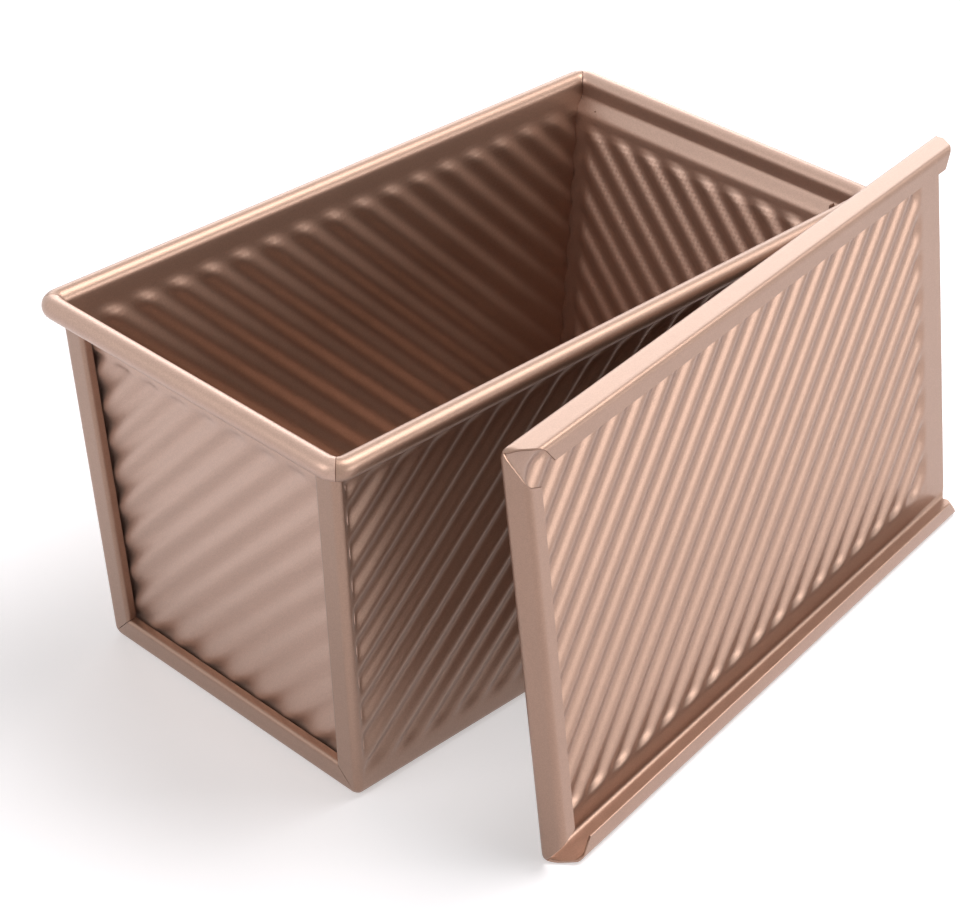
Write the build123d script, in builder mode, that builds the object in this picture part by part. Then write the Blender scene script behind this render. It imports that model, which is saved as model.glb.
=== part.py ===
# Corrugated pullman loaf pan with a slide-on lid, taken off and leaning on one long side
# X runs along the pan, Y across it and +Z is up; the origin is the centre of the pan's underside
from math import ceil, cos, hypot, radians, sin
import os

from build123d import *

os.makedirs("parts", exist_ok=True)

# Overall sizes of the pan over the rolled rim, and how far the foot lies inside it at each end and side
rim_length = 213.0
rim_width = 120.0
pan_height = 113.5
end_taper = 12.85
side_taper = 7.95

# Sheet steel and the reach of cutting shapes beyond what they cut
sheet = 0.6
overrun = 2.0

# Diagonal ribs that are pressed into every panel
rib_pitch = 8.1
rib_depth = 1.2
rib_angle = 45.0
rib_end_slope = 40.0
crest_sink = 0.1

# Rolled rim and the wire inside it
curl = 6.2
curl_opening = 42.0
rim_corner = 6.8
wire_clearance = 0.2
wire_butt_gap = 0.6
mitre_gap = 0.15

# Body sheet: bottom, two long walls and a turned channel frame at each end
bottom_bend = 3.0
frame_setback = 4.8
frame_width = 8.2
frame_depth = 3.2
frame_bend = 2.0
window_bend = 1.2
leg_slit = 0.3
post_gap = 0.8
wall_rib_gap = 0.1
wall_rib_foot = 8.0
wall_rib_head = 9.5
floor_rib_end = 5.0
floor_rib_side = 8.0

# End walls: each is set back behind its frame and steps out to the rim
seam_gap = 0.05
hem_gap = 0.1
shoulder_foot = 8.6
shoulder_head = 3.2
shoulder_bend = 2.0
end_rib_side = 5.0
end_rib_foot = 6.0
end_rib_head = 2.5

# Lid: one sheet with a channel along each long side and a stop flange at one end
lid_end_overlap = 4.5
lid_side_clearance = 0.3
channel_depth = 9.0
channel_lip = 5.4
flange_depth = 8.0
flange_lip = 5.2
lid_bend = 2.0
lid_corner = 3.0
near_fold_cut = 6.0
near_lip_cut = 4.2
far_fold_cut = 8.4
far_lip_cut = 3.9
flange_fold_cut = 8.6
flange_lip_cut = 2.0
lid_rib_side = 7.2
lid_rib_flange_end = 8.5
lid_rib_open_end = 10.8

# Lid at rest: its lower channel on the table, its back against the far corner of the rim
lid_lean = 7.5
lid_yaw = 8.63
lid_overhang = 31.4
lean_gap = 0.25

# Lengths, heights and slopes that follow from the sizes above
base_length = rim_length - 2 * end_taper
base_width = rim_width - 2 * side_taper
curl_radius = curl / 2
curl_height = pan_height - curl_radius
post_top = pan_height - curl - post_gap
shoulder_z = curl_height - shoulder_foot
wall_flare = (side_taper - curl + sheet) / curl_height
end_flare = (end_taper - frame_setback) / curl_height
press_depth = crest_sink + rib_depth
lid_length = rim_length + lid_end_overlap
lid_width = rim_width + 2 * (lid_side_clearance + sheet)


def wall_y(z):
    """Half width over the long walls at a height."""
    return base_width / 2 + wall_flare * z


def frame_x(z):
    """Half length over the end frames at a height."""
    return base_length / 2 + end_flare * z


def panel_x(z):
    """Half length over the flat part of the end walls at a height."""
    return frame_x(z) - frame_depth


def local_plane(base, origin, x_dir, z_dir):
    """Plane whose origin and directions are given along the axes of a base plane."""
    start = base.from_local_coords(Vector(0, 0, 0))
    x_end = base.from_local_coords(Vector(*x_dir))
    z_end = base.from_local_coords(Vector(*z_dir))
    return Plane(origin=base.from_local_coords(Vector(*origin)), x_dir=x_end - start, z_dir=z_end - start)


def on_face(face, corners):
    """Corners in space as points of a face's own two axes."""
    local = [face.to_local_coords(Vector(*corner)) for corner in corners]
    return [(point.X, point.Y) for point in local]


def rib_pressing(face, outline):
    """Room between a face and the waves pressed below it, inside an outline drawn on that face."""
    xs = [x for x, y in outline]
    ys = [y for x, y in outline]
    middle = ((min(xs) + max(xs)) / 2, (min(ys) + max(ys)) / 2, 0)
    reach = hypot(max(xs) - min(xs), max(ys) - min(ys)) / 2 + rib_pitch
    count = 2 * ceil(reach / rib_pitch)
    turn = radians(rib_angle)
    across = local_plane(face, middle, (sin(turn), -cos(turn), 0), (-cos(turn), -sin(turn), 0))
    mid_depth = -crest_sink - rib_depth / 2
    nodes = [(step * rib_pitch / 2, mid_depth) for step in range(-count, count + 1)]
    with BuildPart() as pressing:
        with BuildSketch(face):
            with BuildLine():
                Polyline(*outline, close=True)
            make_face()
        extrude(amount=overrun)
        with BuildSketch(local_plane(face, (0, 0, 0), (1, 0, 0), (0, 0, -1))):
            with BuildLine():
                Polyline(*[(x, -y) for x, y in reversed(outline)], close=True)
            make_face()
        extrude(amount=press_depth + overrun, taper=rib_end_slope)
        with BuildSketch(across):
            with BuildLine():
                for index, (start, end) in enumerate(zip(nodes, nodes[1:])):
                    SagittaArc(start, end, rib_depth / 2 if index % 2 else -rib_depth / 2)
                Polyline(nodes[-1], (nodes[-1][0], overrun), (nodes[0][0], overrun), nodes[0])
            make_face()
        extrude(amount=reach, both=True, mode=Mode.INTERSECT)
    return pressing.part


def tray_prism(inset):
    """Solid with the cross-section of the body, drawn in from its outer faces by an inset."""
    foot = wall_y(inset) - inset
    head = wall_y(curl_height) - inset
    with BuildPart() as prism:
        with BuildSketch(Plane.YZ) as section:
            with BuildLine():
                Polyline((-foot, inset), (foot, inset), (head, curl_height), (-head, curl_height), close=True)
            make_face()
            fillet(section.vertices().group_by(Axis.Y)[0], radius=bottom_bend - inset)
        extrude(amount=rim_length / 2, both=True)
    return prism.part


def tray_block(inset):
    """Solid that the body sheet wraps, drawn in from its outer faces by an inset."""
    foot = frame_x(inset) - inset
    head = frame_x(curl_height) - inset
    prism = tray_prism(inset)
    with BuildPart() as block:
        add(prism)
        with BuildSketch(Plane.XZ):
            with BuildLine():
                Polyline((-foot, inset), (foot, inset), (head, curl_height), (-head, curl_height), close=True)
            make_face()
        extrude(amount=rim_width / 2, both=True, mode=Mode.INTERSECT)
        for end in (0, -1):
            perimeter = block.faces().sort_by(Axis.X)[end].edges().sort_by(Axis.Z)[:-1]
            fillet(perimeter, radius=frame_bend - inset)
    return block.part


def window_outline(grow):
    """Corners of the opening between a frame's strips, across Y and up Z, grown by a width."""
    foot = frame_width - grow
    half_foot = wall_y(foot) - foot
    half_head = wall_y(pan_height) - foot
    return [(-half_foot, foot), (half_foot, foot), (half_head, pan_height), (-half_head, pan_height)]


def framed_block(inset):
    """Tray block with the end windows cut through it, their front edges rolled over."""
    window = window_outline(inset)
    plain_block = tray_block(inset)
    with BuildPart() as block:
        add(plain_block)
        with BuildSketch(Plane.YZ):
            with BuildLine():
                Polyline(*window, close=True)
            make_face()
        extrude(amount=rim_length / 2, both=True, mode=Mode.SUBTRACT)
        for end in (0, -1):
            front_edges = [
                edge
                for edge in block.faces().filter_by(GeomType.PLANE).sort_by(Axis.X)[end].edges()
                if abs(edge.center().Y) < wall_y(edge.center().Z) - frame_width / 2
                and frame_width / 2 < edge.center().Z < post_top
            ]
            fillet(front_edges, radius=window_bend - inset)
    return block.part


def rolled_edge(section_plane, half_size, half_run):
    """Rolled edge on the outward side of a section plane, turned at both ends and mitred with its neighbours."""
    centre = (half_size - curl_radius, curl_height)
    inner_side = half_size - curl - overrun
    outer_side = half_size + overrun
    corner_shift = half_run - half_size - mitre_gap
    straight = half_run - rim_corner
    with BuildPart() as edge:
        for way in (0, -1, 1):
            end_plane = section_plane.offset(way * straight)
            with BuildSketch(end_plane):
                with BuildLine():
                    outer = CenterArc(centre, curl_radius, 180, curl_opening - 360)
                    inner = CenterArc(centre, curl_radius - sheet, 180, curl_opening - 360)
                    Line(outer @ 0, inner @ 0)
                    Line(outer @ 1, inner @ 1)
                make_face()
            if way:
                pivot = end_plane.from_local_coords(Vector(half_size - rim_corner, 0, 0))
                revolve(axis=Axis(pivot, (0, 0, -way)), revolution_arc=90)
            else:
                extrude(amount=straight, both=True)
        with BuildSketch(Plane(origin=(0, 0, 0), x_dir=section_plane.x_dir, z_dir=(0, 0, 1))):
            with BuildLine():
                Polyline(
                    (inner_side, -corner_shift - inner_side),
                    (outer_side, -corner_shift - outer_side),
                    (outer_side, corner_shift + outer_side),
                    (inner_side, corner_shift + inner_side),
                    close=True,
                )
            make_face()
        extrude(amount=pan_height + overrun, mode=Mode.INTERSECT)
    return edge.part


body_block = framed_block(0)
body_room = framed_block(sheet)
wall_room = tray_prism(sheet)

# Room for the loaf between the end walls' outer faces: the frames' turned legs stop short of it
with BuildPart() as leg_room:
    add(wall_room)
    with BuildSketch(Plane.XZ):
        with BuildLine():
            Polyline(
                (-(panel_x(0) + leg_slit), 0),
                (panel_x(0) + leg_slit, 0),
                (panel_x(shoulder_z) + leg_slit, shoulder_z),
                (frame_x(shoulder_z) - sheet, shoulder_z),
                (frame_x(curl_height) - sheet, curl_height),
                (-(frame_x(curl_height) - sheet), curl_height),
                (-(frame_x(shoulder_z) - sheet), shoulder_z),
                (-(panel_x(shoulder_z) + leg_slit), shoulder_z),
                close=True,
            )
        make_face()
    extrude(amount=rim_width / 2, both=True, mode=Mode.INTERSECT)

long_curl = rolled_edge(Plane.YZ, rim_width / 2, rim_length / 2)
long_face = Plane(origin=(0, -wall_y(0), 0), x_dir=(1, 0, 0), z_dir=(0, -1, -wall_flare))
rib_head_z = curl_height - wall_rib_head
rib_end = frame_depth + sheet + wall_rib_gap
long_outline = on_face(
    long_face,
    [
        (-(frame_x(wall_rib_foot) - rib_end), -wall_y(wall_rib_foot), wall_rib_foot),
        (frame_x(wall_rib_foot) - rib_end, -wall_y(wall_rib_foot), wall_rib_foot),
        (frame_x(rib_head_z) - rib_end, -wall_y(rib_head_z), rib_head_z),
        (-(frame_x(rib_head_z) - rib_end), -wall_y(rib_head_z), rib_head_z),
    ],
)
long_ribs = rib_pressing(long_face, long_outline)
floor_face = Plane(origin=(0, 0, 0), x_dir=(1, 0, 0), z_dir=(0, 0, -1))
floor_x = frame_x(0) - rib_end - floor_rib_end
floor_y = base_width / 2 - floor_rib_side
floor_ribs = rib_pressing(
    floor_face, [(-floor_x, -floor_y), (floor_x, -floor_y), (floor_x, floor_y), (-floor_x, floor_y)]
)

# Body sheet with its long rolled edges, windows and pressed ribs
with BuildPart() as pan_body:
    add(body_block)
    add(body_room, mode=Mode.SUBTRACT)
    add(leg_room.part, mode=Mode.SUBTRACT)
    with BuildSketch(Plane.XZ):
        for side in (-1, 1):
            with BuildLine():
                Polyline(
                    (side * (rim_length / 2 - curl - mitre_gap), post_top),
                    (side * rim_length / 2, post_top),
                    (side * rim_length / 2, pan_height),
                    (side * (rim_length / 2 - curl - mitre_gap), pan_height),
                    close=True,
                )
            make_face()
    extrude(amount=rim_width / 2, both=True, mode=Mode.SUBTRACT)
    for turn in (0, 180):
        add(long_curl, rotation=(0, 0, turn))
        add(long_ribs.moved(Location(long_face.z_dir * -sheet)), rotation=(0, 0, turn))
        add(long_ribs, rotation=(0, 0, turn), mode=Mode.SUBTRACT)
    add(floor_ribs.moved(Location(floor_face.z_dir * -sheet)))
    add(floor_ribs, mode=Mode.SUBTRACT)

pan_body.part.label = "pan_body"
export_step(pan_body.part, "parts/pan_body.step")

# Hem of an end wall: turned outwards along the long walls and the bottom, inside the frame
with BuildPart() as end_hem:
    add(tray_prism(sheet + seam_gap))
    add(tray_prism(2 * sheet + seam_gap), mode=Mode.SUBTRACT)
    with BuildSketch(Plane.XZ):
        with BuildLine():
            Polyline(
                (panel_x(0) - sheet / 2, 0),
                (frame_x(0) - frame_bend - hem_gap, 0),
                (frame_x(shoulder_z) - frame_bend - hem_gap, shoulder_z),
                (panel_x(shoulder_z) - sheet / 2, shoulder_z),
                close=True,
            )
        make_face()
    extrude(amount=rim_width / 2, both=True, mode=Mode.INTERSECT)

end_room = tray_prism(sheet + seam_gap)
end_curl = rolled_edge(Plane(origin=(0, 0, 0), x_dir=(1, 0, 0), z_dir=(0, -1, 0)), rim_length / 2, rim_width / 2)
end_face = Plane(origin=(panel_x(0), 0, 0), x_dir=(0, 1, 0), z_dir=(1, 0, -end_flare))
end_head_z = shoulder_z - end_rib_head
end_outline = on_face(
    end_face,
    [
        (panel_x(end_rib_foot), -(wall_y(end_rib_foot) - end_rib_side), end_rib_foot),
        (panel_x(end_rib_foot), wall_y(end_rib_foot) - end_rib_side, end_rib_foot),
        (panel_x(end_head_z), wall_y(end_head_z) - end_rib_side, end_head_z),
        (panel_x(end_head_z), -(wall_y(end_head_z) - end_rib_side), end_head_z),
    ],
)
end_ribs = rib_pressing(end_face, end_outline)

# End wall: a pressed panel that steps out over the frame to its own rolled edge
with BuildPart() as end_wall_right:
    with BuildSketch(Plane.XZ):
        with BuildLine():
            FilletPolyline(
                (panel_x(0), 0),
                (panel_x(shoulder_z), shoulder_z),
                (rim_length / 2 - curl + sheet, curl_height - shoulder_head),
                (rim_length / 2 - curl + sheet, curl_height),
                radius=shoulder_bend,
            )
            offset(amount=sheet, side=Side.LEFT)
        make_face()
    extrude(amount=rim_width / 2, both=True)
    add(end_room, mode=Mode.INTERSECT)
    add(end_hem.part)
    add(end_curl)
    add(end_ribs.moved(Location(end_face.z_dir * -sheet)))
    add(end_ribs, mode=Mode.SUBTRACT)

end_wall_right.part.label = "end_wall_right"
export_step(end_wall_right.part, "parts/end_wall_right.step")

with BuildPart() as end_wall_left:
    add(end_wall_right.part, rotation=(0, 0, 180))

end_wall_left.part.label = "end_wall_left"
export_step(end_wall_left.part, "parts/end_wall_left.step")

# Rim wire: one length of wire bent round inside the rolled edges, its ends butted at the back
wire_x = rim_length / 2 - curl_radius
wire_y = rim_width / 2 - curl_radius
with BuildPart() as rim_wire:
    with BuildLine(Plane.XY.offset(curl_height)) as wire_path:
        FilletPolyline(
            (wire_butt_gap / 2, wire_y),
            (wire_x, wire_y),
            (wire_x, -wire_y),
            (-wire_x, -wire_y),
            (-wire_x, wire_y),
            (-wire_butt_gap / 2, wire_y),
            radius=rim_corner - curl_radius,
        )
    with BuildSketch(Plane(origin=wire_path.line @ 0, z_dir=wire_path.line % 0)):
        Circle(curl_radius - sheet - wire_clearance)
    sweep()

rim_wire.part.label = "rim_wire"
export_step(rim_wire.part, "parts/rim_wire.step")

# Lid frame: its own X runs along the lid from the stop flange, its own Y up the lid
# The lid leans on the far corner of the rim or, where it is shorter than the pan, with its top edge on the wall
yaw = radians(lid_yaw)
lean = radians(lid_lean)
lid_along = Vector(cos(yaw), sin(yaw), 0)
lid_out = Vector(sin(yaw) * cos(lean), -cos(yaw) * cos(lean), sin(lean))
lid_corner_x = rim_length / 2 + lid_overhang - lid_length * cos(yaw)
lid_corner_z = lid_bend - (lid_bend * cos(lean) + (lid_bend - sheet) * sin(lean))
lid_top = lid_corner_z + lid_width * cos(lean)
level_share = hypot(lid_out.X, lid_out.Y)
rim_pivot = Vector(rim_length / 2 - rim_corner, rim_corner - rim_width / 2, curl_height)
rim_reach = lid_out.dot(rim_pivot) + (rim_corner - curl_radius) * level_share + curl_radius
wall_pivot = Vector(frame_x(lid_top) - frame_bend, frame_bend - wall_y(lid_top), lid_top)
wall_reach = lid_out.dot(wall_pivot) + frame_bend * level_share
pan_reach = rim_reach + press_depth if lid_top > curl_height else wall_reach
back_reach = pan_reach + lean_gap + sheet
lid_corner_y = (back_reach - lid_out.X * lid_corner_x - lid_out.Z * lid_corner_z) / lid_out.Y
lid_plane = Plane(origin=(lid_corner_x, lid_corner_y, lid_corner_z), x_dir=lid_along, z_dir=lid_out)
lid_section = local_plane(lid_plane, (0, 0, 0), (0, 1, 0), (1, 0, 0))
lid_side_view = local_plane(lid_plane, (0, 0, 0), (1, 0, 0), (0, -1, 0))
lid_far_side = local_plane(lid_plane, (0, lid_width, 0), (1, 0, 0), (0, -1, 0))


# Envelope of the lid: rounded over its folds and at its four corners
with BuildPart() as lid_envelope:
    with BuildSketch(local_plane(lid_plane, (0, 0, -sheet), (1, 0, 0), (0, 0, 1))):
        with BuildLine():
            Polyline((0, 0), (lid_length + lid_corner, 0), (lid_length + lid_corner, lid_width), (0, lid_width), close=True)
        make_face()
    extrude(amount=sheet + channel_depth)
    along_axis = Axis(lid_plane.origin, lid_plane.x_dir)
    out_axis = Axis(lid_plane.origin, lid_plane.z_dir)
    fillet(lid_envelope.edges().filter_by(out_axis).group_by(along_axis)[0], radius=lid_corner)
    fillet(lid_envelope.faces().sort_by(out_axis)[0].edges().sort_by(along_axis)[:-1], radius=lid_bend)
    with BuildSketch(local_plane(lid_plane, (0, 0, -sheet), (1, 0, 0), (0, 0, 1))) as far_outline:
        with BuildLine():
            Polyline((0, 0), (lid_length, 0), (lid_length, lid_width), (0, lid_width), close=True)
        make_face()
        fillet(far_outline.vertices().group_by(Axis.X)[-1], radius=lid_corner)
    extrude(amount=sheet + channel_depth, mode=Mode.INTERSECT)

# Channels with the panel between them: one section along the lid
with BuildPart() as lid_channels:
    with BuildSketch(lid_section):
        with BuildLine():
            FilletPolyline(
                (channel_lip, channel_depth),
                (0, channel_depth),
                (0, -sheet),
                (lid_width, -sheet),
                (lid_width, channel_depth),
                (lid_width - channel_lip, channel_depth),
                radius=lid_bend,
            )
            offset(amount=sheet, side=Side.LEFT)
        make_face()
    extrude(amount=lid_length)
    with BuildSketch(lid_side_view):
        with BuildLine():
            Polyline(
                (-overrun, 0), (0, 0), (near_fold_cut, channel_depth),
                (near_fold_cut, channel_depth + overrun), (-overrun, channel_depth + overrun), close=True,
            )
        make_face()
        with BuildLine():
            Polyline(
                (lid_length + overrun, 0), (lid_length, 0), (lid_length - far_fold_cut, channel_depth),
                (lid_length - far_fold_cut, channel_depth + overrun),
                (lid_length + overrun, channel_depth + overrun), close=True,
            )
        make_face()
    extrude(amount=-lid_width, mode=Mode.SUBTRACT)
    with BuildSketch(local_plane(lid_plane, (0, 0, channel_depth + overrun), (1, 0, 0), (0, 0, 1))):
        for edge_y, way in ((0, 1), (lid_width, -1)):
            with BuildLine():
                Polyline(
                    (0, edge_y), (near_fold_cut, edge_y),
                    (near_fold_cut + near_lip_cut, edge_y + way * channel_lip),
                    (near_fold_cut + near_lip_cut, edge_y + way * (channel_lip + overrun)),
                    (0, edge_y + way * (channel_lip + overrun)), close=True,
                )
            make_face()
            with BuildLine():
                Polyline(
                    (lid_length, edge_y), (lid_length - far_fold_cut, edge_y),
                    (lid_length - far_fold_cut - far_lip_cut, edge_y + way * channel_lip),
                    (lid_length - far_fold_cut - far_lip_cut, edge_y + way * (channel_lip + overrun)),
                    (lid_length, edge_y + way * (channel_lip + overrun)), close=True,
                )
            make_face()
    extrude(amount=-(overrun + lid_bend), mode=Mode.SUBTRACT)

# Stop flange at one end, relieved at both corners so that it clears the channels
with BuildPart() as stop_flange:
    with BuildSketch(local_plane(lid_plane, (0, lid_bend, 0), (1, 0, 0), (0, -1, 0))):
        with BuildLine():
            FilletPolyline(
                (flange_lip, flange_depth),
                (0, flange_depth),
                (0, -sheet),
                (channel_depth, -sheet),
                radius=lid_bend,
            )
            offset(amount=sheet, side=Side.LEFT)
        make_face()
    extrude(amount=2 * lid_bend - lid_width)
    with BuildSketch(lid_section):
        for edge_y, way in ((0, 1), (lid_width, -1)):
            with BuildLine():
                Polyline(
                    (edge_y - way * overrun, 0),
                    (edge_y, 0),
                    (edge_y + way * flange_fold_cut, flange_depth),
                    (edge_y + way * flange_fold_cut, flange_depth + overrun),
                    (edge_y - way * overrun, flange_depth + overrun),
                    close=True,
                )
            make_face()
    extrude(amount=channel_depth, mode=Mode.SUBTRACT)
    with BuildSketch(local_plane(lid_plane, (0, 0, flange_depth + overrun), (1, 0, 0), (0, 0, 1))):
        for edge_y, way in ((0, 1), (lid_width, -1)):
            with BuildLine():
                Polyline(
                    (0, edge_y),
                    (0, edge_y + way * flange_fold_cut),
                    (flange_lip, edge_y + way * (flange_fold_cut + flange_lip_cut)),
                    (flange_lip + overrun, edge_y + way * (flange_fold_cut + flange_lip_cut)),
                    (flange_lip + overrun, edge_y),
                    close=True,
                )
            make_face()
    extrude(amount=-(overrun + lid_bend), mode=Mode.SUBTRACT)

lid_outline = [
    (lid_rib_flange_end, lid_rib_side),
    (lid_length - lid_rib_open_end, lid_rib_side),
    (lid_length - lid_rib_open_end, lid_width - lid_rib_side),
    (lid_rib_flange_end, lid_width - lid_rib_side),
]
lid_ribs = rib_pressing(lid_plane, lid_outline)

# Lid: channels and flange joined by the panel, rounded at its corners, with its ribs pressed in
with BuildPart() as lid:
    add(lid_channels.part)
    add(stop_flange.part)
    add(lid_envelope.part, mode=Mode.INTERSECT)
    add(lid_ribs.moved(Location(lid_plane.z_dir * -sheet)))
    add(lid_ribs, mode=Mode.SUBTRACT)

lid.part.label = "lid"
export_step(lid.part, "parts/lid.step")
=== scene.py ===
import math

import bpy
import numpy as np
from mathutils import Matrix, Vector


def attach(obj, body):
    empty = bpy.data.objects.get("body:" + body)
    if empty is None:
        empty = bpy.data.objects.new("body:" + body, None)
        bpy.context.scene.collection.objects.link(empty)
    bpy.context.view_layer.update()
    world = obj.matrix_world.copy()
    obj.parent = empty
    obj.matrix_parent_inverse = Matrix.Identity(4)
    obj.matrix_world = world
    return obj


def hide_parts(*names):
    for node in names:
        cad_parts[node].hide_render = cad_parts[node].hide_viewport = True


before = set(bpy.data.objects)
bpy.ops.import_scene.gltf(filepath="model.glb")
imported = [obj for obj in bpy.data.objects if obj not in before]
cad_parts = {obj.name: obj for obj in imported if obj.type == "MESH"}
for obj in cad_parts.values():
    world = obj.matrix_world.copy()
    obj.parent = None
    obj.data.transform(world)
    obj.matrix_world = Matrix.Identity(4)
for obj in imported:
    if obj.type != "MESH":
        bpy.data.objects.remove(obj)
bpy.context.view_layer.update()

# The camera stands where the photograph was taken from: on the diagonal between the flange end and the
# lid's side, looking about 33 degrees down through a long lens, so that the pan's edges stay nearly parallel.
camera_place = Vector((-0.46243, -0.46279, 0.46301))
camera_aim = Vector((-0.01095, -0.02128, 0.055))
camera_roll = math.radians(0.950)
focal_length = 100.553
film_width = 36.0
nearest_seen = 0.05
farthest_seen = 20.0
frame_width = 960
frame_height = 917
axis_column = 498.72
axis_row = 463.52

camera_data = bpy.data.cameras.new("studio_camera")
camera_data.lens = focal_length
camera_data.sensor_width = film_width
camera_data.sensor_fit = "HORIZONTAL"
camera_data.shift_x = (frame_width / 2 - axis_column) / frame_width
camera_data.shift_y = (axis_row - frame_height / 2) / frame_width
camera_data.clip_start = nearest_seen
camera_data.clip_end = farthest_seen
camera = bpy.data.objects.new("studio_camera", camera_data)
bpy.context.scene.collection.objects.link(camera)
forward = (camera_aim - camera_place).normalized()
level_right = forward.cross(Vector((0, 0, 1))).normalized()
level_up = level_right.cross(forward)
camera_right = level_right * math.cos(camera_roll) + level_up * math.sin(camera_roll)
camera_up = camera_right.cross(forward)
camera.matrix_world = Matrix.Translation(camera_place) @ Matrix(
    (camera_right, camera_up, -forward)
).transposed().to_4x4()
bpy.context.scene.camera = camera

# The table is a sheet of white paper that takes the soft grey shadows of the pan and the lid. Farther out it
# turns into plain white light, so that from any side it runs into the white background without an edge.
table_span = 6.0
table_drop = 0.00005
table_lit_reach = 0.42
table_white_reach = 0.75
paper_colour = (0.81, 0.79, 0.82, 1)
paper_glow = 0.45
plain_white = (1, 1, 1, 1)


def new_material(name):
    """Empty node material: returns it with its node tree and its output."""
    material = bpy.data.materials.new(name)
    material.use_nodes = True
    tree = material.node_tree
    tree.nodes.clear()
    return material, tree, tree.nodes.new("ShaderNodeOutputMaterial")


def put_on(piece, finish):
    """Gives a piece one finish, in place of any that it had."""
    piece.data.materials.clear()
    piece.data.materials.append(finish)


def worked_out(tree, operation, *values):
    """Result of a Math node on the given sockets and numbers."""
    node = tree.nodes.new("ShaderNodeMath")
    node.operation = operation
    for socket, value in zip(node.inputs, values):
        if isinstance(value, bpy.types.NodeSocket):
            tree.links.new(value, socket)
        else:
            socket.default_value = value
    return node.outputs[0]


def seen_directly(tree):
    """One for what the camera sees by itself, in a reflection or through glass, and else zero: the largest of
    the camera, glossy and transmission rays."""
    ray = tree.nodes.new("ShaderNodeLightPath").outputs
    straight_or_mirrored = worked_out(tree, "MAXIMUM", ray["Is Camera Ray"], ray["Is Glossy Ray"])
    return worked_out(tree, "MAXIMUM", straight_or_mirrored, ray["Is Transmission Ray"])


def shader(tree, kind, colour, strength=None):
    """Plain shader node of one colour, with a strength where it has one."""
    node = tree.nodes.new(kind)
    node.inputs["Color"].default_value = colour
    if strength is not None:
        node.inputs["Strength"].default_value = strength
    return node


half_table = table_span / 2
table_mesh = bpy.data.meshes.new("table")
table_mesh.from_pydata(
    [
        (-half_table, -half_table, -table_drop),
        (half_table, -half_table, -table_drop),
        (half_table, half_table, -table_drop),
        (-half_table, half_table, -table_drop),
    ],
    [],
    [(0, 1, 2, 3)],
)
table = bpy.data.objects.new("table", table_mesh)
bpy.context.scene.collection.objects.link(table)

table_white, tree, output = new_material("table_white")
seen = seen_directly(tree)
paper = shader(tree, "ShaderNodeBsdfDiffuse", paper_colour)
glow = shader(tree, "ShaderNodeEmission", plain_white)
tree.links.new(worked_out(tree, "MULTIPLY", seen, paper_glow), glow.inputs["Strength"])
lit_paper = tree.nodes.new("ShaderNodeAddShader")
tree.links.new(paper.outputs[0], lit_paper.inputs[0])
tree.links.new(glow.outputs[0], lit_paper.inputs[1])
ground = tree.nodes.new("ShaderNodeTexCoord")
distance = tree.nodes.new("ShaderNodeVectorMath")
distance.operation = "LENGTH"
away = tree.nodes.new("ShaderNodeMapRange")
away.interpolation_type = "SMOOTHSTEP"
away.inputs["From Min"].default_value = table_lit_reach
away.inputs["From Max"].default_value = table_white_reach
backdrop = shader(tree, "ShaderNodeEmission", plain_white, 1.0)
fading = tree.nodes.new("ShaderNodeMixShader")
tree.links.new(ground.outputs["Object"], distance.inputs[0])
tree.links.new(distance.outputs["Value"], away.inputs["Value"])
tree.links.new(worked_out(tree, "MULTIPLY", away.outputs["Result"], seen), fading.inputs["Fac"])
tree.links.new(lit_paper.outputs[0], fading.inputs[1])
tree.links.new(backdrop.outputs[0], fading.inputs[2])
tree.links.new(fading.outputs[0], output.inputs["Surface"])
put_on(table, table_white)

# Four soft boxes light the pan: one overhead, one behind, a weak one at the flange end, and one low on the
# lid's side, whose reflection draws the bright lines along the lid's ribs. The room looks white, and lights
# little.
room_colour = (1.0, 0.985, 0.97, 1)
room_light = 0.12

world = bpy.data.worlds.new("studio")
bpy.context.scene.world = world
world.use_nodes = True
tree = world.node_tree
tree.nodes.clear()
output = tree.nodes.new("ShaderNodeOutputWorld")
room = shader(tree, "ShaderNodeBackground", room_colour, room_light)
white = shader(tree, "ShaderNodeBackground", plain_white, 1.0)
choice = tree.nodes.new("ShaderNodeMixShader")
tree.links.new(seen_directly(tree), choice.inputs["Fac"])
tree.links.new(room.outputs[0], choice.inputs[1])
tree.links.new(white.outputs[0], choice.inputs[2])
tree.links.new(choice.outputs[0], output.inputs["Surface"])


def soft_box(name, place, aim, width, height, power, colour):
    """Rectangular area light at a place, turned to face a point."""
    data = bpy.data.lights.new(name, "AREA")
    data.shape = "RECTANGLE"
    data.size = width
    data.size_y = height
    data.energy = power
    data.color = colour
    light = bpy.data.objects.new(name, data)
    light.location = place
    light.rotation_euler = (Vector(aim) - Vector(place)).to_track_quat("-Z", "Y").to_euler()
    light.visible_camera = False
    bpy.context.scene.collection.objects.link(light)


soft_box("overhead_box", (0.50, -0.28, 1.22), (0, 0, 0.05), 0.8, 0.8, 13.5, (1.0, 0.985, 0.97))
soft_box("back_box", (0.95, 1.15, 0.65), (0, 0, 0.08), 1.2, 0.8, 7.0, (1.0, 0.99, 0.985))
soft_box("side_box", (0.62, -1.45, 0.44), (0, -0.05, 0.06), 1.1, 0.50, 9.0, (0.96, 0.985, 1.0))
soft_box("fill_box", (-1.25, 0.25, 0.70), (-0.1, 0, 0.06), 0.7, 0.7, 4.0, (1.0, 0.98, 0.96))

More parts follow.
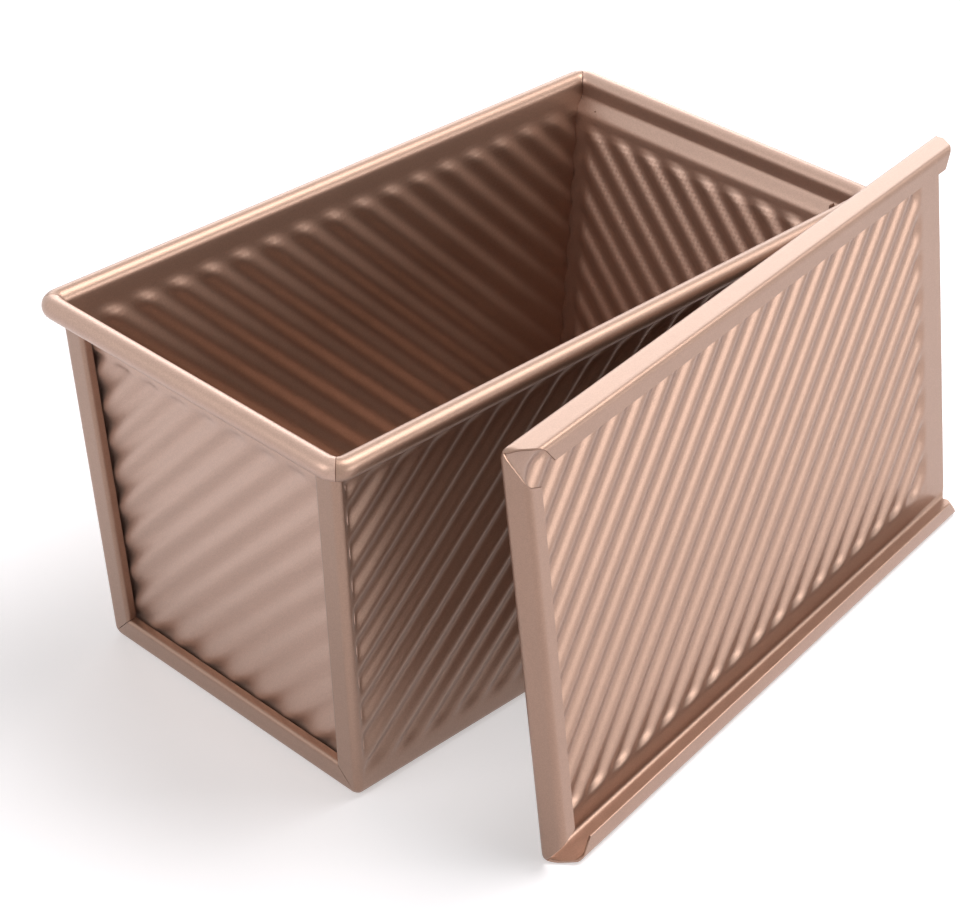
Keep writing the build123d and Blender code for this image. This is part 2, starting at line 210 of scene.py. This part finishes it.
# The pan's body is one sheet of steel, 0.6 mm thick, folded into a floor and two long walls with ribs pressed
# into each panel, and rolled outwards along both long edges over a wire. Like every sheet here it has a
# baked-on champagne coating: a warm metallic lacquer with fine flake, sprayed a little unevenly.
mm = 0.001
rim_length = 213.0 * mm
rim_width = 120.0 * mm
pan_height = 113.5 * mm
end_taper = 12.85 * mm
side_taper = 7.95 * mm
sheet = 0.6 * mm
curl_radius = 3.1 * mm
curl_opening = math.radians(42)
rim_corner = 6.8 * mm
mitre_gap = 0.15 * mm
frame_setback = 4.8 * mm
frame_bend = 2.0 * mm
bottom_bend = 3.0 * mm
post_gap = 0.8 * mm
short_post = 2.1 * mm
rib_pitch = 8.1 * mm
rib_depth = 1.2 * mm
rib_fade = 2.6 * mm
crest_sink = 0.1 * mm
wall_rib_side = 2.2 * mm
wall_rib_fade = 2.4 * mm
wall_rib_end_fade = 5.0 * mm
wall_rib_foot = 6.5 * mm
wall_rib_head_gap = 5.0 * mm
floor_rib_end = 8.9 * mm
floor_rib_side = 8.0 * mm
base_length = rim_length - 2 * end_taper
base_width = rim_width - 2 * side_taper
curl_height = pan_height - curl_radius
wall_flare = (side_taper - 2 * curl_radius + sheet) / curl_height
end_flare = (end_taper - frame_setback) / curl_height
post_top = pan_height - 2 * curl_radius - post_gap
wall_rib_head = curl_height - wall_rib_head_gap
grid_step = 1.35 * mm
rim_steps = 26
bend_steps = 9
rib_end_steps = np.array((0, 0.15, 0.35, 0.7, 1.05, 1.4, 1.8, 2.4, 3.2)) * mm
sharp_edge = math.radians(38)


def wall_y(z):
    """Half width over the long walls: the half width at the foot plus the flare times the height."""
    return base_width / 2 + wall_flare * z


def frame_x(z):
    """Half length over the end frames: the half length at the foot plus the flare times the height."""
    return base_length / 2 + end_flare * z


def close_steps(length, step, near):
    """Positions from 0 to 1 along a length in steps of about one size, with given places near both ends."""
    near = np.asarray(near)
    count = max(int(round((length - 2 * near[-1]) / step)), 2)
    middle = np.linspace(near[-1], length - near[-1], count + 1)[1:-1]
    return np.concatenate((near, middle, length - near[::-1])) / length


def polyline_steps(corners, step):
    """Points along straight runs through the corners, about one step apart, each corner kept."""
    runs = []
    for start, end in zip(corners[:-1], corners[1:]):
        count = max(int(round(np.hypot(*(np.subtract(end, start))) / step)), 1)
        share = np.arange(count)[:, None] / count
        runs.append(np.asarray(start) + share * np.subtract(end, start))
    runs.append(np.asarray(corners[-1:], float))
    return np.concatenate(runs)


def arc_points(centre, radius, start, end, count):
    """Points of a circle from one angle to another: centre + radius * (cos, sin)."""
    angle = np.linspace(start, end, count)
    return np.asarray(centre) + radius * np.stack((np.cos(angle), np.sin(angle)), axis=1)


def profile_normals(profile):
    """Left-hand normals of a flat profile: the tangent by central differences, turned a quarter turn."""
    tangent = np.gradient(profile, axis=0)
    tangent /= np.linalg.norm(tangent, axis=1)[:, None]
    return np.stack((-tangent[:, 1], tangent[:, 0]), axis=1)


def rib_depth_at(across, up, outline, side_fade=rib_fade, end_fade=rib_fade):
    """Depth of the pressed ribs: a cosine wave of the rib pitch along the line at right angles to the ribs,
    times a smooth step of the distance to the nearest side of the outline over the length they fade in."""
    low_x, high_x, low_y, high_y = outline
    wave = 0.5 - 0.5 * np.cos(2 * np.pi * (across - up) / (math.sqrt(2) * rib_pitch))
    from_side = np.minimum(across - low_x, high_x - across) / side_fade
    from_end = np.minimum(up - low_y, high_y - up) / end_fade
    share = np.clip(np.minimum(from_side, from_end), 0, 1)
    return share * share * (3 - 2 * share) * (crest_sink + rib_depth * wave)


def sheet_mesh(name, outer, inner):
    """Closed thin shell between two grids of points of the same size. Its open edges are closed through a
    middle row pushed out by a quarter of the sheet, which rounds them."""
    rows, columns = outer.shape[:2]
    index = np.arange(rows * columns).reshape(rows, columns)
    ring = np.concatenate((index[0, :-1], index[:-1, -1], index[-1, :0:-1], index[:0:-1, 0]))
    inset_row = np.clip(np.arange(rows), 1, rows - 2)
    inset_column = np.clip(np.arange(columns), 1, columns - 2)
    inset = index[np.ix_(inset_row, inset_column)].ravel()[ring]
    outer_flat = outer.reshape(-1, 3)
    inner_flat = inner.reshape(-1, 3)
    push = outer_flat[ring] - outer_flat[inset]
    least_push = sheet / 1000
    push /= np.maximum(np.linalg.norm(push, axis=1), least_push)[:, None]
    middle = (outer_flat[ring] + inner_flat[ring]) / 2 + push * sheet / 4
    quads = np.stack((index[:-1, :-1], index[:-1, 1:], index[1:, 1:], index[1:, :-1]), axis=-1).reshape(-1, 4)
    total = rows * columns
    following = np.roll(ring, -1)
    middle_index = 2 * total + np.arange(len(ring))
    middle_following = np.roll(middle_index, -1)
    side_outer = np.stack((ring, middle_index, middle_following, following), axis=1)
    side_inner = np.stack((middle_index, ring + total, following + total, middle_following), axis=1)
    faces = np.concatenate((quads, quads[:, ::-1] + total, side_outer, side_inner))
    points = np.concatenate((outer_flat, inner_flat, middle))
    corners = points[faces]
    volume = np.einsum("ij,ij->i", corners[:, 0], np.cross(corners[:, 1], corners[:, 2])).sum()
    volume += np.einsum("ij,ij->i", corners[:, 0], np.cross(corners[:, 2], corners[:, 3])).sum()
    if volume < 0:
        faces = faces[:, ::-1]
    mesh = bpy.data.meshes.new(name)
    mesh.from_pydata(points.tolist(), [], faces.tolist())
    mesh.shade_smooth()
    mesh.set_sharp_from_angle(angle=sharp_edge)
    piece = bpy.data.objects.new(name, mesh)
    bpy.context.scene.collection.objects.link(piece)
    return piece


def wall_bend():
    """Bottom bend of the body in the plane across the pan: the circle that touches the floor and the flared
    wall, from the floor's end round to the wall's foot."""
    slope = math.atan(wall_flare)
    centre = (base_width / 2 + wall_flare * bottom_bend - bottom_bend / math.cos(slope), bottom_bend)
    return arc_points(centre, bottom_bend, -math.pi / 2, -slope, bend_steps)


def rolled_rim(reach):
    """Rolled edge on the face side of a sheet: from the wall's own level over the top and down round the
    wire."""
    centre = (reach - curl_radius, curl_height)
    return arc_points(centre, curl_radius - sheet, math.pi, -math.pi + curl_opening, rim_steps)


def rim_turn(size, half_size, half_run, share):
    """Rolled edge along its side and round half of each corner. A point of the rim at some distance from the
    pan's middle line turns on radius = size - (half size - corner). It runs straight for half run - corner
    and then turns by 45 degrees less the angle that the mitre's gap takes at that radius."""
    straight = half_run - rim_corner
    radius = size - (half_size - rim_corner)
    last_turn = math.pi / 4 - np.arcsin(mitre_gap / (math.sqrt(2) * radius))
    travel = (straight + radius * last_turn) * share
    turn = np.clip(np.abs(travel) - straight, 0, None) / radius
    along = np.sign(travel) * (np.minimum(np.abs(travel), straight) + radius * np.sin(turn))
    return along, size - radius * (1 - np.cos(turn))


bend = wall_bend()
floor_run = polyline_steps([(0, 0), tuple(bend[0])], grid_step)[:-1]
wall_head = (rim_width / 2 - 2 * curl_radius + sheet, curl_height)
wall_run = polyline_steps([tuple(bend[-1]), wall_head], grid_step)[1:-1]
half_profile = np.concatenate((floor_run, bend, wall_run, rolled_rim(rim_width / 2)))
on_rim = np.arange(len(half_profile)) >= len(half_profile) - rim_steps
profile = np.concatenate((half_profile[:0:-1] * (-1, 1), half_profile))
on_rim = np.concatenate((on_rim[:0:-1], on_rim))
inward = profile_normals(profile)


def body_skin(points):
    """Grid of the body sheet: every profile point spread along X, up to the frame's bend on the walls, up to
    the end rim above the posts and round to the mitres on the rolled edges, then moved inwards by the ribs of
    the floor and of both walls."""
    share = close_steps(base_length, grid_step, rib_end_steps)[None, :] * 2 - 1
    z = points[:, 1:]
    beside_post = z < post_top - short_post * (points[:, :1] > 0)
    rim_reach = rim_length / 2 - 2 * curl_radius + sheet - mitre_gap
    reach = np.where(beside_post, frame_x(z) - frame_bend, rim_reach)
    x = reach * share
    across = points[:, :1] + 0 * x
    turned_x, turned_y = rim_turn(np.abs(points[on_rim, :1]), rim_width / 2, rim_length / 2, share)
    x[on_rim] = turned_x
    across[on_rim] = turned_y * np.sign(points[on_rim, :1])
    y, z = profile[:, :1], profile[:, 1:]
    side = frame_x(z) - wall_rib_side
    wall_outline = (-side, side, wall_rib_foot, wall_rib_head)
    wall = rib_depth_at(x * -np.sign(y), z, wall_outline, wall_rib_fade, wall_rib_end_fade)
    floor_end, floor_side = base_length / 2 - floor_rib_end, base_width / 2 - floor_rib_side
    floor = rib_depth_at(x, -y, (-floor_end, floor_end, -floor_side, floor_side))
    depth = np.where(z < bottom_bend / 2, floor, np.where(on_rim[:, None], 0, wall))
    grid = np.empty(x.shape + (3,))
    grid[..., 0] = x
    grid[..., 1] = across + inward[:, :1] * depth
    grid[..., 2] = points[:, 1:] + inward[:, 1:] * depth
    return grid


flake_scale = 4000.0
cloud_scale = 55.0
cloud_detail = 3.0
flake_bump = 0.25
flake_height = 0.06 * mm
gloss_weight = 0.6
gloss_roughness = 0.40
gloss_ior = 1.5
flake_contrast = 0.16
spray_mottle = 0.08
flake_grain = 0.5

coating_group = bpy.data.node_groups.new("champagne_flake", "ShaderNodeTree")
for socket, kind in (
    ("Tint", "NodeSocketColor"),
    ("Flake Contrast", "NodeSocketFloat"),
    ("Mottle", "NodeSocketFloat"),
    ("Roughness", "NodeSocketFloat"),
    ("Grain", "NodeSocketFloat"),
):
    coating_group.interface.new_socket(name=socket, in_out="INPUT", socket_type=kind)
for socket, kind in (
    ("Colour", "NodeSocketColor"),
    ("Roughness", "NodeSocketFloat"),
    ("Height", "NodeSocketFloat"),
):
    coating_group.interface.new_socket(name=socket, in_out="OUTPUT", socket_type=kind)
given = coating_group.nodes.new("NodeGroupInput").outputs
result = coating_group.nodes.new("NodeGroupOutput").inputs
place = coating_group.nodes.new("ShaderNodeTexCoord")
flake = coating_group.nodes.new("ShaderNodeTexVoronoi")
flake.inputs["Scale"].default_value = flake_scale
flake_value = coating_group.nodes.new("ShaderNodeSeparateColor")
cloud = coating_group.nodes.new("ShaderNodeTexNoise")
cloud.inputs["Scale"].default_value = cloud_scale
cloud.inputs["Detail"].default_value = cloud_detail
coating_group.links.new(place.outputs["Object"], flake.inputs["Vector"])
coating_group.links.new(place.outputs["Object"], cloud.inputs["Vector"])
coating_group.links.new(flake.outputs["Color"], flake_value.inputs[0])


def level(source, strength):
    """One plus the strength times the source less a half."""
    centred = worked_out(coating_group, "SUBTRACT", source, 0.5)
    return worked_out(coating_group, "MULTIPLY_ADD", centred, strength, 1.0)


flake_level = level(flake_value.outputs[0], given["Flake Contrast"])
cloud_level = level(cloud.outputs["Fac"], given["Mottle"])
tinted = coating_group.nodes.new("ShaderNodeVectorMath")
tinted.operation = "SCALE"
coating_group.links.new(given["Tint"], tinted.inputs[0])
coating_group.links.new(
    worked_out(coating_group, "MULTIPLY", flake_level, cloud_level), tinted.inputs["Scale"]
)
rough = worked_out(coating_group, "MULTIPLY", given["Roughness"], cloud_level)
grainy = worked_out(coating_group, "MULTIPLY", flake_value.outputs[1], given["Grain"])
coating_group.links.new(tinted.outputs[0], result["Colour"])
coating_group.links.new(rough, result["Roughness"])
coating_group.links.new(grainy, result["Height"])


def coating(name, tint, roughness, metallic):
    """Champagne coating with its own tint and gloss."""
    material, tree, output = new_material(name)
    paint = tree.nodes.new("ShaderNodeBsdfPrincipled")
    paint.inputs["Metallic"].default_value = metallic
    paint.inputs["Coat Weight"].default_value = gloss_weight
    paint.inputs["Coat Roughness"].default_value = gloss_roughness
    paint.inputs["Coat IOR"].default_value = gloss_ior
    group = tree.nodes.new("ShaderNodeGroup")
    group.node_tree = coating_group
    group.inputs["Tint"].default_value = tint
    group.inputs["Flake Contrast"].default_value = flake_contrast
    group.inputs["Mottle"].default_value = spray_mottle
    group.inputs["Roughness"].default_value = roughness
    group.inputs["Grain"].default_value = flake_grain
    bump = tree.nodes.new("ShaderNodeBump")
    bump.inputs["Strength"].default_value = flake_bump
    bump.inputs["Distance"].default_value = flake_height
    tree.links.new(group.outputs["Colour"], paint.inputs["Base Color"])
    tree.links.new(group.outputs["Roughness"], paint.inputs["Roughness"])
    tree.links.new(group.outputs["Height"], bump.inputs["Height"])
    tree.links.new(bump.outputs["Normal"], paint.inputs["Normal"])
    tree.links.new(paint.outputs["BSDF"], output.inputs["Surface"])
    return material


pan_coating = coating("pan_coating", (0.36, 0.22, 0.158, 1), 0.38, 0.70)
body_sheet = sheet_mesh("body_sheet", body_skin(profile), body_skin(profile + sheet * inward))
put_on(body_sheet, pan_coating)
put_on(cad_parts["pan_body"], pan_coating)
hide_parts("pan_body")
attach(body_sheet, "pan")

# Each end of the body is turned into a frame: two posts and a sill, 8 mm wide, their inner edges rolled back
# towards the end panel. Posts and sill meet in a mitre at the bottom corners; the posts stay open at the top.
strip_width = 8.2 * mm
panel_depth = 3.2 * mm
window_bend = 1.2 * mm
leg_slit = 0.3 * mm
frame_joint_gap = 0.12 * mm
strip_bend_steps = 8
strip_roll_steps = 7
mitre_steps = 6
strip_flat_step = 0.6 * mm
strip_leg_step = 0.5 * mm
strip_step = 2.5 * mm
edge_step = 0.3 * mm

strip_bend = arc_points((frame_bend, frame_bend), frame_bend, math.pi, 1.5 * math.pi, strip_bend_steps)
strip_flat = polyline_steps([(frame_bend, 0), (strip_width - window_bend, 0)], strip_flat_step)[1:-1]
strip_roll = arc_points(
    (strip_width - window_bend, window_bend), window_bend, -math.pi / 2, 0, strip_roll_steps
)
strip_leg = polyline_steps(
    [(strip_width, window_bend), (strip_width, panel_depth - leg_slit)], strip_leg_step
)[1:]
strip_profile = np.concatenate((strip_bend, strip_flat, strip_roll, strip_leg))
strip_inward = profile_normals(strip_profile)


def even_steps(length, step):
    """Positions from 0 to 1 along a length in steps of about one size, with one short step at each end."""
    count = max(int(round(length / step)), 2)
    edge = edge_step / length
    return np.concatenate(([0], np.linspace(edge, 1 - edge, count), [1]))


def post_path(offset, top=post_top):
    """Points down a post at an offset from the pan's side, and round half of the bottom corner, whose radius
    is the body's bend less the offset."""
    radius = np.maximum(bottom_bend - offset, 0)[:, None]
    share = even_steps(top, strip_step)[None, :]
    low = (offset[:, None] + radius) + frame_joint_gap * (radius == 0)
    z = top + (low - top) * share
    y = wall_y(z) - offset[:, None]
    turn = np.linspace(0, math.pi / 4, mitre_steps)[None, 1:]
    corner_y = wall_y(low) - offset[:, None] - radius + radius * np.cos(turn)
    corner_z = low - radius * np.sin(turn)
    return np.concatenate((y, corner_y), axis=1), np.concatenate((z, corner_z), axis=1)


def short_post_path(offset):
    """Points down a post at the back, which stops a little lower under the rim."""
    return post_path(offset, post_top - short_post)


def sill_path(offset):
    """Points along the sill at an offset from the pan's underside, from one mitre to the other."""
    radius = np.maximum(bottom_bend - offset, 0)[:, None]
    side = wall_y(offset[:, None] + radius) - offset[:, None] - radius - frame_joint_gap
    turn = np.linspace(math.pi / 4, math.pi / 2, mitre_steps)[None, :-1]
    corner_y = side + radius * np.cos(turn)
    corner_z = offset[:, None] + radius - radius * np.sin(turn)
    share = even_steps(base_width, strip_step)[None, :] * 2 - 1
    y = np.concatenate((-corner_y, side * share, corner_y[:, ::-1]), axis=1)
    z = np.concatenate((corner_z, offset[:, None] + 0 * side * share, corner_z[:, ::-1]), axis=1)
    return y, z


def strip_skin(points, path, end, side):
    """Grid of a frame strip: its profile points carried along a path, set back from the frame's slanted
    face."""
    y, z = path(points[:, 0])
    grid = np.empty(y.shape + (3,))
    grid[..., 0] = end * (frame_x(z) - points[:, 1:])
    grid[..., 1] = side * y
    grid[..., 2] = z
    return grid


frame_strips = (
    (post_path, -1, "front_post"),
    (short_post_path, 1, "back_post"),
    (sill_path, 1, "sill"),
)
for end, end_name in ((-1, "left"), (1, "right")):
    for path, side, strip_name in frame_strips:
        strip = sheet_mesh(
            end_name + "_" + strip_name,
            strip_skin(strip_profile, path, end, side),
            strip_skin(strip_profile + sheet * strip_inward, path, end, side),
        )
        put_on(strip, pan_coating)
        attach(strip, "pan")

# The end walls are separate pressings: a ribbed panel behind the frame that steps out above the posts and is
# rolled over the same wire as the long edges, meeting them in a mitre at each corner.
shoulder_foot_gap = 8.6 * mm
shoulder_head_gap = 3.2 * mm
shoulder_z = curl_height - shoulder_foot_gap
shoulder_head = curl_height - shoulder_head_gap
shoulder_steps = 9
end_rib_side = 5.0 * mm
end_rib_foot = 6.0 * mm
end_rib_head_gap = 2.5 * mm
end_rib_head = shoulder_z - end_rib_head_gap
seam_gap = 0.05 * mm


def end_profile():
    """Section of an end wall along X and up Z: the panel, the step out over the posts, which is a smooth step
    between both levels, and the rolled rim."""
    rim_face = rim_length / 2 - 2 * curl_radius + sheet
    foot = sheet + seam_gap
    panel_foot = (frame_x(foot) - panel_depth, foot)
    panel_head = (frame_x(shoulder_z) - panel_depth, shoulder_z)
    lower = polyline_steps([panel_foot, panel_head], grid_step)
    rise = np.linspace(0, 1, shoulder_steps)[1:-1]
    ease = rise * rise * (3 - 2 * rise)
    step_x = lower[-1, 0] + (rim_face - lower[-1, 0]) * ease
    step_z = shoulder_z + (shoulder_head - shoulder_z) * rise
    upper = polyline_steps([(rim_face, shoulder_head), (rim_face, curl_height)], grid_step)[:-1]
    return np.concatenate((lower, np.stack((step_x, step_z), axis=1), upper, rolled_rim(rim_length / 2)))


section = end_profile()
section_rim = np.arange(len(section)) >= len(section) - rim_steps
section_inward = profile_normals(section)


def end_skin(points, end):
    """Grid of an end wall: every section point spread along Y between the long walls, or between the mitres
    on the rolled edge, then moved inwards by the ribs."""
    low_corner = np.clip(bottom_bend - section[:, 1], 0, None)
    bend_radius = bottom_bend - sheet - seam_gap
    bend_loss = bend_radius - np.sqrt(np.clip(bend_radius**2 - low_corner**2, 0, None))
    reach = wall_y(section[:, 1]) - sheet - seam_gap - bend_loss
    share = even_steps(base_width, grid_step)[None, :] * 2 - 1
    y = reach[:, None] * share
    x = points[:, :1] + 0 * y
    turned_y, turned_x = rim_turn(points[section_rim, :1], rim_length / 2, rim_width / 2, share)
    y[section_rim] = turned_y
    x[section_rim] = turned_x
    side = wall_y(section[:, 1:]) - end_rib_side
    depth = rib_depth_at(end * y, section[:, 1:], (-side, side, end_rib_foot, end_rib_head))
    grid = np.empty(y.shape + (3,))
    grid[..., 0] = end * (x + section_inward[:, :1] * depth)
    grid[..., 1] = y
    grid[..., 2] = points[:, 1:] + section_inward[:, 1:] * depth
    return grid


# The end walls wear a lighter copy of the body's champagne coating. It is painted light, not a different
# finish: the lighter tint stands in for the brighter light that falls on the end faces.
end_coating = coating("end_coating", (0.53, 0.35, 0.275, 1), 0.38, 0.70)
section_back = section + sheet * section_inward
for end, node in ((-1, "end_wall_left"), (1, "end_wall_right")):
    end_wall = sheet_mesh(node + "_sheet", end_skin(section, end), end_skin(section_back, end))
    put_on(end_wall, end_coating)
    put_on(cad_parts[node], end_coating)
    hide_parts(node)
    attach(end_wall, "pan")

# The rim wire is one length of plain drawn steel, bent round inside the rolled edges of all four sides, its
# ends butted at the back. It stiffens the rim, and the solid is shown as it is.
wire_colour = (0.55, 0.55, 0.54, 1)
draw_mark_scale = 900.0
wire_smoothest = 0.25
wire_roughest = 0.45

wire_steel, tree, output = new_material("wire_steel")
steel = tree.nodes.new("ShaderNodeBsdfPrincipled")
steel.inputs["Base Color"].default_value = wire_colour
steel.inputs["Metallic"].default_value = 1.0
place = tree.nodes.new("ShaderNodeTexCoord")
draw_marks = tree.nodes.new("ShaderNodeTexNoise")
draw_marks.inputs["Scale"].default_value = draw_mark_scale
spread = tree.nodes.new("ShaderNodeMapRange")
spread.inputs["To Min"].default_value = wire_smoothest
spread.inputs["To Max"].default_value = wire_roughest
tree.links.new(place.outputs["Object"], draw_marks.inputs["Vector"])
tree.links.new(draw_marks.outputs["Fac"], spread.inputs["Value"])
tree.links.new(spread.outputs["Result"], steel.inputs["Roughness"])
tree.links.new(steel.outputs["BSDF"], output.inputs["Surface"])
put_on(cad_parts["rim_wire"], wire_steel)

# The lid is one sheet: a ribbed panel with a channel folded along each long side, which runs on the pan's
# rim, and a stop flange folded at one end. It has been taken off and leans with its underside outwards.
lid_overlength = 4.5 * mm
rim_clearance = 0.3 * mm
channel_depth = 9.0 * mm
channel_lip = 5.4 * mm
flange_depth = 8.0 * mm
flange_lip = 5.2 * mm
lid_bend = 2.0 * mm
lip_bend = 1.6 * mm
lid_corner = 3.0 * mm
near_fold_cut = 6.0 * mm
near_lip_cut = 4.2 * mm
far_fold_cut = 8.4 * mm
far_lip_cut = 3.9 * mm
flange_fold_cut = 8.6 * mm
flange_lip_cut = 2.0 * mm
lid_rib_side = 7.2 * mm
lid_rib_flange_end = 8.5 * mm
lid_rib_open_end = 10.8 * mm
lid_yaw = math.radians(8.63)
lid_lean = math.radians(7.5)
lid_overhang = 31.4 * mm
lean_gap = 0.25 * mm
lid_length = rim_length + lid_overlength
lid_width = rim_width + 2 * (rim_clearance + sheet)
fold_step = 0.8 * mm
panel_step = 1.0 * mm
flange_step = 2.0 * mm
lip_steps = 7
corner_steps = np.array((0, 0.12, 0.28, 0.46, 0.64, 0.82, 1.0, 1.2)) * lid_corner

lid_along = np.array((math.cos(lid_yaw), math.sin(lid_yaw), 0))
lid_out = np.array(
    (math.sin(lid_yaw) * math.cos(lid_lean), -math.cos(lid_yaw) * math.cos(lid_lean), math.sin(lid_lean))
)
lid_up = np.cross(lid_out, lid_along)
lid_corner_z = lid_bend - (lid_bend * math.cos(lid_lean) + (lid_bend - sheet) * math.sin(lid_lean))
corner_pivot = np.array((rim_length / 2 - rim_corner, rim_corner - rim_width / 2, curl_height))
back_reach = lid_out @ corner_pivot + (rim_corner - curl_radius) * math.hypot(lid_out[0], lid_out[1])
back_reach += curl_radius + lean_gap + crest_sink + rib_depth + sheet
lid_corner_x = rim_length / 2 + lid_overhang - lid_length * math.cos(lid_yaw)
lid_corner_y = (back_reach - lid_out[0] * lid_corner_x - lid_out[2] * lid_corner_z) / lid_out[1]
lid_origin = np.array((lid_corner_x, lid_corner_y, lid_corner_z))


def on_lid(along, up, out):
    """Points in space from distances along the lid, up the lid and out from its panel."""
    return lid_origin + along[..., None] * lid_along + up[..., None] * lid_up + out[..., None] * lid_out


def folded_edge(lip, depth):
    """Half section of a folded edge, seen along the fold: from the lip's free edge over the lip's bend and
    the wall to the panel's bend, on the outer face of the sheet."""
    lip_run = polyline_steps([(lip, depth), (lip_bend, depth)], fold_step)[:-1]
    lip_arc = arc_points((lip_bend, depth - lip_bend), lip_bend, math.pi / 2, math.pi, lip_steps)
    wall = polyline_steps([(0, depth - lip_bend), (0, lid_bend - sheet)], fold_step)[1:-1]
    panel_arc = arc_points((lid_bend, lid_bend - sheet), lid_bend, math.pi, 1.5 * math.pi, bend_steps)
    return np.concatenate((lip_run, lip_arc, wall, panel_arc))


def corner_loss(distance):
    """How far the rounded corner of the panel cuts in at a distance from its side: radius less the root of
    the radius squared less the remaining distance squared."""
    rest = np.clip(lid_corner - distance, 0, lid_corner)
    return lid_corner - np.sqrt(lid_corner**2 - rest**2)


def drawn_corner(travel, distance):
    """Fold carried round a drawn corner. Where the travel along the fold is under the corner's radius, the
    point turns about the corner's centre: its own radius is the corner's less its distance from the outer
    face, and its angle the missing travel over that radius. Returns the place along and the distance
    across."""
    radius = np.maximum(lid_corner - distance, sheet)
    missing = np.clip(lid_corner - travel, 0, None)
    turn = np.where(distance > lid_bend + sheet / 2, 0, missing / radius)
    along = np.where(turn > 0, lid_corner - radius * np.sin(turn), travel)
    return along, distance + radius * (1 - np.cos(turn))


def corner_start(cut, distance):
    """Travel at which a fold starts: at its slanted cut, or else halfway round the drawn corner."""
    halfway = lid_corner - np.maximum(lid_corner - distance, sheet) * math.pi / 4
    return np.where(distance > lid_bend + sheet / 2, cut, np.maximum(cut, halfway))


lower_fold = folded_edge(channel_lip, channel_depth)
panel_run = polyline_steps([(lid_bend, -sheet), (lid_width - lid_bend, -sheet)], panel_step)[1:-1]
lid_profile = np.concatenate((lower_fold, panel_run, lower_fold[::-1] * (-1, 1) + (lid_width, 0)))
lid_inward = profile_normals(lid_profile)


def lid_skin(points):
    """Grid of the lid: every profile point spread along the lid between its two slanted ends, the panel
    pressed back by the ribs."""
    up, out = points[:, :1], points[:, 1:]
    height = np.clip(lid_profile[:, 1:], 0, None) / channel_depth
    reach_in = np.minimum(lid_profile[:, :1], lid_width - lid_profile[:, :1])
    on_lip = lid_profile[:, 1:] > channel_depth - lip_bend / 2
    lip_share = np.where(on_lip, reach_in / channel_lip, 0)
    lower = lid_profile[:, :1] < lid_width / 2
    distance = np.where(lower, up, lid_width - up)
    on_panel = lid_profile[:, 1:] <= -sheet
    start = corner_start(near_fold_cut * height + near_lip_cut * lip_share, distance)
    start = np.where(on_panel & (reach_in > lid_bend + sheet / 2), lid_bend, start)
    far_cut = far_fold_cut * height + far_lip_cut * lip_share
    finish = lid_length - np.maximum(corner_loss(reach_in) * (height < 0.5), far_cut)
    share = close_steps(lid_length, panel_step, corner_steps)[None, :]
    travel = start + (finish - start) * share
    along, across = drawn_corner(travel, distance + 0 * travel)
    up = np.where(lower, across, lid_width - across)
    rib_outline = (lid_rib_flange_end, lid_length - lid_rib_open_end, lid_rib_side, lid_width - lid_rib_side)
    depth = np.where(lid_profile[:, 1:] < 0, rib_depth_at(along, up, rib_outline), 0)
    return on_lid(along, up, out - depth)


lid_coating = coating("lid_coating", (0.355, 0.215, 0.155, 1), 0.35, 0.76)
lid_sheet = sheet_mesh("lid_sheet", lid_skin(lid_profile), lid_skin(lid_profile + sheet * lid_inward))
put_on(lid_sheet, lid_coating)
put_on(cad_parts["lid"], lid_coating)
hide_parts("lid")
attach(lid_sheet, "lid")

flange_profile = folded_edge(flange_lip, flange_depth)
flange_back = flange_profile + sheet * profile_normals(flange_profile)


def flange_skin(points):
    """Grid of the stop flange: its section spread up the lid between two slanted cuts."""
    distance, out = points[:, :1], points[:, 1:]
    height = np.clip(flange_profile[:, 1:], 0, None) / flange_depth
    on_lip = flange_profile[:, 1:] > flange_depth - lip_bend / 2
    lip_share = np.where(on_lip, flange_profile[:, :1] / flange_lip, 0)
    start = corner_start(flange_fold_cut * height + flange_lip_cut * lip_share, distance)
    travel = start + (lid_width - 2 * start) * close_steps(lid_width, flange_step, corner_steps)[None, :]
    from_side = np.minimum(travel, lid_width - travel)
    up, along = drawn_corner(from_side, distance + 0 * travel)
    return on_lid(along, np.where(travel < lid_width / 2, up, lid_width - up), out + 0 * travel)


stop_flange = sheet_mesh("stop_flange", flange_skin(flange_profile), flange_skin(flange_back))
put_on(stop_flange, lid_coating)
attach(stop_flange, "lid")

bpy.context.scene.view_settings.view_transform = "Standard"
